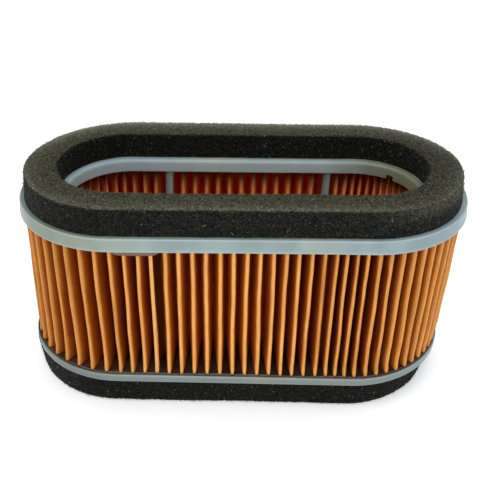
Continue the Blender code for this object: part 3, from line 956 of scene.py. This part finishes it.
def sidestep(distance):
    """How far the outer folds of the -Y side lean to the right of their roots, most in its middle."""
    return SIDESTEP * np.exp(-np.abs((distance - SIDESTEP_MIDDLE) / SIDESTEP_REACH) ** 3)


def paper_middle(line, heights):
    """Distance and inset of the paper's middle at every row and column, with its slight unevenness."""
    distance = np.broadcast_to(line[:, 0], (len(heights), len(line))).copy()
    inset = np.broadcast_to(line[:, 1], distance.shape).copy()
    pleat = line[:, 2]
    span = (heights - heights[0]) / (heights[-1] - heights[0])
    by_pleat = np.broadcast_to(pleat[None, :], distance.shape)
    by_height = np.broadcast_to(span[:, None] * 3.2, distance.shape)
    places = np.stack([by_pleat, by_height, np.zeros(distance.shape)], axis=-1)
    sway = smooth_noise(places * np.array([1.7, 1.0, 1.0]), 1.0, 61)
    quick = smooth_noise(places * np.array([1.3, 3.4, 1.0]) + 17.3, 1.0, 62)
    push = smooth_noise(places * np.array([1.9, 1.3, 1.0]) + 41.9, 1.0, 63)
    free = smoothstep(0.0, 0.16, span)[:, None] * smoothstep(1.0, 0.88, span)[:, None]
    distance += (SLOW_SWAY * sway + QUICK_SWAY * quick) * MM * (0.35 + 0.65 * free)
    inset += PUSH * push * free
    height = heights[:, None] - LOWER_BED_HIGH + BED_DISHED
    taper = 1 - smoothstep(-0.2 * MM, 3.4 * MM, height)
    outer_share = 1 - smoothstep(0.0, 5.0 * MM, line[:, 1] - FOLD_OUTER)[None, :]
    forward = FOOT_FORWARD * (1 - smoothstep(1 * MM, 7 * MM, height))
    inset += (0.20 * taper ** 1.6 - forward) * MM * outer_share
    distance += (line[None, :, 3] - distance) * FOOT_NARROWING * taper ** 1.4 * outer_share
    outward = 1 - (line[:, 1] - FOLD_OUTER) / (FOLD_INNER - FOLD_OUTER)
    distance += (sidestep(line[:, 3]) * outward)[None, :] + uprighting(line[None, :, 3], heights[:, None])
    inset = np.maximum(inset, FOLD_OUTER + SHEET / 2 - 0.90 * MM)
    bulged = (smoothstep(0.0, 0.15, span) * smoothstep(1.0, 0.955, span))[:, None]
    return distance, inset - PAPER_BULGE * bulged * (end_swell(line[:, 3]) * outward)[None, :]


def paper_stains(line, inset, points):
    """How deep in its fold each point of the paper is, where it is soaked and where it takes painted shade near the
    beds and the seam, and how much painted shade it takes round the ends.
    """
    both_sides = np.concatenate([line, line[::-1]])
    outer_side = np.arange(len(both_sides)) < len(line)
    depth = np.concatenate([inset, inset[:, ::-1]], axis=1)
    depth = np.clip((depth - FOLD_OUTER - SHEET / 2) / (FOLD_INNER - FOLD_OUTER), 0, 1)
    height = points[..., 2]
    # soaking reaches about a millimetre up the folds; the extra reach deep in the valleys is painted shade
    creep = 1.0 * MM + 0.6 * MM * smooth_noise(points, 3.5 * MM, 64) + 9 * MM * smoothstep(0.25, 0.9, depth)
    near_bed = np.minimum(height - LOWER_BED_HIGH + BED_DISHED, UPPER_BED_LOW - height)
    soaked_and_shaded = 1 - smoothstep(0.0, 1.0, near_bed / creep - 0.4)
    # painted shade in the gap beside the seam
    past_seam = both_sides[:, 0] - SEAM
    beside_seam = (past_seam > 0.1 * MM) & (past_seam < 2.6 * MM)
    soaked_and_shaded = np.maximum(soaked_and_shaded, 0.80 * beside_seam * smoothstep(0.02, 0.10, depth))
    # painted shade round both ends, lighter on the ridges
    turned = end_share(both_sides[:, 3]) * outer_side
    at_ridge = np.where(from_middle(both_sides[:, 3]) < 0, 0.45, 0.25)
    away = turned * (at_ridge + (1 - at_ridge) * smoothstep(-0.002, 0.006, depth))
    stains = {
        "fold_depth": np.clip(depth * (1 + 0.5 * turned), 0, 1),
        "soaked_and_shaded": soaked_and_shaded,
        "inner_side": np.broadcast_to(1 - outer_side, depth.shape),
        "painted_end_shade": away,
    }
    return {label: values.ravel() for label, values in stains.items()}


def pleated_paper():
    """The sheet: two rows of points, half a thickness to either side of its middle, joined at the ends."""
    line = pleat_line()
    heights = pleat_heights()
    distance, inset = paper_middle(line, heights)
    middle = np.stack(plan(distance, inset), axis=-1)
    along = np.empty_like(middle)
    along[:, 1:-1] = middle[:, 2:] - middle[:, :-2]
    along[:, 0] = middle[:, 1] - middle[:, 0]
    along[:, -1] = middle[:, -1] - middle[:, -2]
    along /= np.linalg.norm(along, axis=-1, keepdims=True)
    out = np.stack([along[..., 1], -along[..., 0]], axis=-1) * SHEET / 2
    loop = np.concatenate([middle + out, (middle - out)[:, ::-1]], axis=1)
    height = np.broadcast_to(heights[:, None, None], (*loop.shape[:2], 1))
    points = np.concatenate([loop, height], axis=-1)
    columns = points.shape[1]
    faces = grid_faces(len(heights), columns, False, True)[:, ::-1]
    caps = []
    for row, flip in ((0, False), (len(heights) - 1, True)):
        first = row * columns
        for column in range(len(line) - 1):
            opposite = first + columns - 1 - column
            quad = (first + column, first + column + 1, opposite - 1, opposite)
            caps.append(quad if flip else quad[::-1])
    faces = np.concatenate([faces, np.array(caps)])
    stains = paper_stains(line, inset, points)
    return make_piece("pleated_filter_paper", points.reshape(-1, 3), faces, paper_used, attributes=stains)


def seam_bead():
    """The glue in the paper's seam: a thin uneven strip that stands a little out of the fold."""
    heights = np.linspace(PAPER_LOW, PAPER_HIGH, 48)
    foot = 0.90 * (1 - smoothstep(1 * MM, 7 * MM, heights - LOWER_BED_HIGH + BED_DISHED))
    section = [
        (-0.68, 2.30), (-0.55, 2.14), (0.0, 2.08), (0.55, 2.14), (0.68, 2.30),
        (0.17, 2.60), (0.17, 5.8), (-0.17, 5.8), (-0.17, 2.60),
    ]
    points = np.empty((len(heights), len(section), 3))
    for column, (along, inset) in enumerate(section):
        places = np.stack([heights * 300, heights * 0 + column * 5.1, heights * 0], axis=1)
        swell = 0.06 * smooth_noise(places, 1.0, 71)
        beside = SEAM + sidestep(SEAM) + uprighting(SEAM, heights) + along * MM
        x, y = plan(beside, (inset - (swell + foot) * (inset < 2.6)) * MM)
        points[:, column, 0] = x
        points[:, column, 1] = y
        points[:, column, 2] = heights
    faces = capped_faces(len(heights), len(section))
    return make_piece("seam_glue_bead", points.reshape(-1, 3), faces, seam_used)


# ---- Potting compound ----

def fold_distance(distance, inset):
    """Roughly how far a plan point on the bed is from the paper that stands in it."""
    folds = np.concatenate([[SEAM], np.stack([INNER_FOLDS, OUTER_FOLDS], axis=1).ravel()])
    reach = np.clip(distance, folds[0], folds[-1])
    after = np.clip(np.searchsorted(folds, reach, side="right"), 1, len(folds) - 1)
    pitch = 2 * (folds[after] - folds[after - 1])
    outer = np.where(after % 2 == 0, folds[after], folds[after - 1])
    local = np.abs(reach - outer)
    part = np.clip((inset - FOLD_OUTER - TIP_RADIUS) / (FOLD_INNER - FOLD_OUTER - 2 * TIP_RADIUS), 0, 1)
    half = TIP_RADIUS + (pitch / 2 - TIP_RADIUS - ROOT_RADIUS) * part
    beyond = np.maximum(FOLD_OUTER + 0.4 * MM - inset, 0) + np.maximum(inset - FOLD_INNER, 0)
    beside = np.where(beyond == 0, np.abs(local - half), np.maximum(local - half, 0))
    return np.hypot(beside, beyond)


CLIMB = 1.0                      # how far the compound climbs the paper's folds, in mm
CLIMB_REACH = 0.50 * MM
WALL_CLIMB = 0.7 * MM
SQUEEZE_START = (-0.057, -0.051)   # distances from the -Y side's middle between which it was squeezed out
SQUEEZE_END = (-0.037, -0.031)


def potting_bed(name, back, surface, squeezed=0.0):
    """The set compound: an uneven surface that climbs each fold of the paper and both walls.

    Where it was squeezed out, it hangs below the frame's wall along part of the -Y side.
    """
    up = 1 if surface > back else -1
    stations = SEAM + LAP * np.arange(PLEATS * 13) / (PLEATS * 13)
    outer, inner = FRAME_WALL + 0.04 * MM, FRAME_RING - FRAME_WALL - 0.04 * MM
    across = np.linspace(outer, inner, 27)
    profile = [(outer, back)] + [(inset, surface) for inset in across] + [(inner, back)]
    points = swept_points(stations, profile)
    inset = np.array([item[0] for item in profile])[None, :] + stations[:, None] * 0
    where = stations[:, None] + inset * 0
    outward = np.clip(1 - (inset - FOLD_OUTER) / (FOLD_INNER - FOLD_OUTER), 0, 1)
    folded = where - uprighting(where, surface) - sidestep(where) * outward
    climb = (CLIMB - 0.7 * smoothstep(0.5, 0.9, outward)) * MM
    climb *= np.exp(-fold_distance(folded, inset) / CLIMB_REACH)
    wall = WALL_CLIMB * (np.exp(-(inset - outer) / (0.6 * MM)) + np.exp(-(inner - inset) / (0.6 * MM)))
    uneven = 0.35 * MM * smooth_noise(points, 9 * MM, 81) + 0.14 * MM * smooth_noise(points, 2.2 * MM, 82)
    beside = from_middle(where)
    along = smoothstep(*SQUEEZE_START, beside) * (1 - smoothstep(*SQUEEZE_END, beside))
    hang = squeezed * along * (1 - smoothstep(outer + 0.8 * MM, outer + 2.6 * MM, inset))
    hang *= 0.93 + 0.14 * smooth_noise(points, 6 * MM, 83)
    rise = climb + wall + uneven + hang
    on_surface = np.ones(len(profile))
    on_surface[0] = on_surface[-1] = 0
    points[..., 2] += up * rise * on_surface[None, :]
    faces = facing(grid_faces(len(stations), len(profile), True, True), up)
    thinned = {"thinned": np.clip(0.75 * hang / (2 * MM), 0, 0.85).ravel()}
    return make_piece(name, points.reshape(-1, 3), faces, potting_used, attributes=thinned)


# ---- Studio ----

def floor():
    """A white floor that glows a little, just under the lower foam."""
    mesh = bpy.data.meshes.new("studio_floor")
    half = 4.0
    level = SEAL_BOTTOM - 0.2 * MM
    corners = [(-half, -half, level), (half, -half, level), (half, half, level), (-half, half, level)]
    mesh.from_pydata(corners, [], [(0, 1, 2, 3)])
    nodes = Nodes("studio_floor", 0.9, Emission_Color=(1.0, 1.0, 1.0, 1.0), Emission_Strength=0.30)
    nodes.color(nodes.ramp(nodes.noise(2.0), [(0.0, (0.95, 0.95, 0.95)), (1.0, (0.97, 0.97, 0.97))]))
    mesh.materials.append(nodes.material)
    piece = bpy.data.objects.new("studio_floor", mesh)
    into_scene(piece)


def area_light(name, place, target, size, power, color=(1.0, 1.0, 1.0)):
    light = bpy.data.lights.new(name, "AREA")
    light.shape = "RECTANGLE"
    light.size, light.size_y = size
    light.energy = power
    light.color = color
    lamp = bpy.data.objects.new(name, light)
    lamp.location = place
    lamp.rotation_euler = (Vector(target) - Vector(place)).to_track_quat("-Z", "Y").to_euler()
    into_scene(lamp)


def lights():
    centre = (0.0, 0.0, 0.05)
    area_light("key_softbox", (-0.25, -0.45, 1.0), centre, (0.9, 0.6), 3.6)
    area_light("top_softbox", (0.15, 0.25, 1.1), centre, (1.0, 0.8), 4.4)
    area_light("front_softbox", (0.1, -1.1, 0.35), centre, (1.2, 0.5), 1.6)
    world = bpy.data.worlds.new("studio_world")
    world.use_nodes = True
    background = world.node_tree.nodes["Background"]
    background.inputs["Color"].default_value = (0.95, 0.97, 1.0, 1.0)
    background.inputs["Strength"].default_value = 0.62
    bpy.context.scene.world = world


def camera():
    """The camera stands before the -Y side and looks down on it by 33 degrees."""
    yaw, pitch, roll = math.radians(0.24), math.radians(32.58), math.radians(0.95)
    forward = Vector((math.sin(yaw) * math.cos(pitch), math.cos(yaw) * math.cos(pitch), -math.sin(pitch)))
    right = Vector((math.cos(yaw), -math.sin(yaw), 0.0))
    upward = right.cross(forward)
    rolled_right = right * math.cos(roll) + upward * math.sin(roll)
    rolled_up = upward * math.cos(roll) - right * math.sin(roll)
    turn = Matrix((rolled_right, rolled_up, -forward)).transposed()
    data = bpy.data.cameras.new("photo_camera")
    data.lens = 53.23
    data.sensor_width = 36.0
    data.clip_start = 0.01
    item = bpy.data.objects.new("photo_camera", data)
    item.matrix_world = Matrix.Translation((0.00338, -0.29908, 0.24865)) @ turn.to_4x4()
    into_scene(item)
    bpy.context.scene.camera = item
    bpy.context.scene.view_settings.view_transform = "Standard"


# ---- The object ----

def dress(piece, body, slot, *nodes):
    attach(piece, body)
    if nodes:
        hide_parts(*nodes)


def place_foam(label, face, seal, shift):
    piece, fuzz = foam_gasket(label + "_foam", face, seal, shift)
    for part in (piece, fuzz):
        dress(part, "element", "gasket_foam")
        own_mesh(part)
    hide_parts(label + "_foam_gasket")


camera()
floor()
lights()

foam_material_used = foam_material()
strut_material_used = strut_material()
plastic_used = plastic_material()
paper_used = paper_material()
potting_used = potting_material()
film_used = glue_material("gasket_adhesive", (0.42, 0.36, 0.24), (0.62, 0.56, 0.42))
seam_used = glue_material("seam_glue", (0.70, 0.32, 0.07), (0.84, 0.42, 0.12))

upper = frame_moulding("upper_frame_moulding", UPPER_FRAME_HIGH, UPPER_FRAME_LOW, SKIRT_FLARE, 0.0)
lower_edge = LOWER_FRAME_HIGH - BED_DISHED
lower = frame_moulding("lower_frame_moulding", LOWER_FRAME_LOW, lower_edge, 0.0, LOWER_FRAME_SHADE)
sharp_by_angle(upper, 50)
sharp_by_angle(lower, 50)
bonded = [(upper, "frame_plastic", "upper_frame"), (lower, "frame_plastic", "lower_frame")]
bonded += [(support_post(node), "frame_plastic", node) for node in POST_NODES]
bonded.append((pleated_paper(), "filter_paper", "pleated_paper"))
bonded.append((seam_bead(), "seam_glue", "paper_seam_glue"))
bed = potting_bed("upper_potting_bed", UPPER_BED_HIGH + BED_BACK, UPPER_BED_LOW, SQUEEZED_OUT)
bonded.append((bed, "potting_compound", "upper_potting"))
bed = potting_bed("lower_potting_bed", LOWER_BED_LOW - BED_BACK, LOWER_BED_HIGH - BED_DISHED)
bonded.append((bed, "potting_compound", "lower_potting"))
film = adhesive_ring("upper_adhesive_film", UPPER_FRAME_HIGH, 1, 0.0)
bonded.append((film, "gasket_adhesive", "upper_gasket_adhesive"))
film = adhesive_ring("lower_adhesive_film", LOWER_FRAME_LOW, -1, LOWER_FOAM_SHIFT)
bonded.append((film, "gasket_adhesive", "lower_gasket_adhesive"))
for piece, slot, node in bonded:
    dress(piece, "element", slot, node)
place_foam("upper", UPPER_FRAME_HIGH, SEAL_TOP, 0.0)
place_foam("lower", LOWER_FRAME_LOW, SEAL_BOTTOM, LOWER_FOAM_SHIFT)
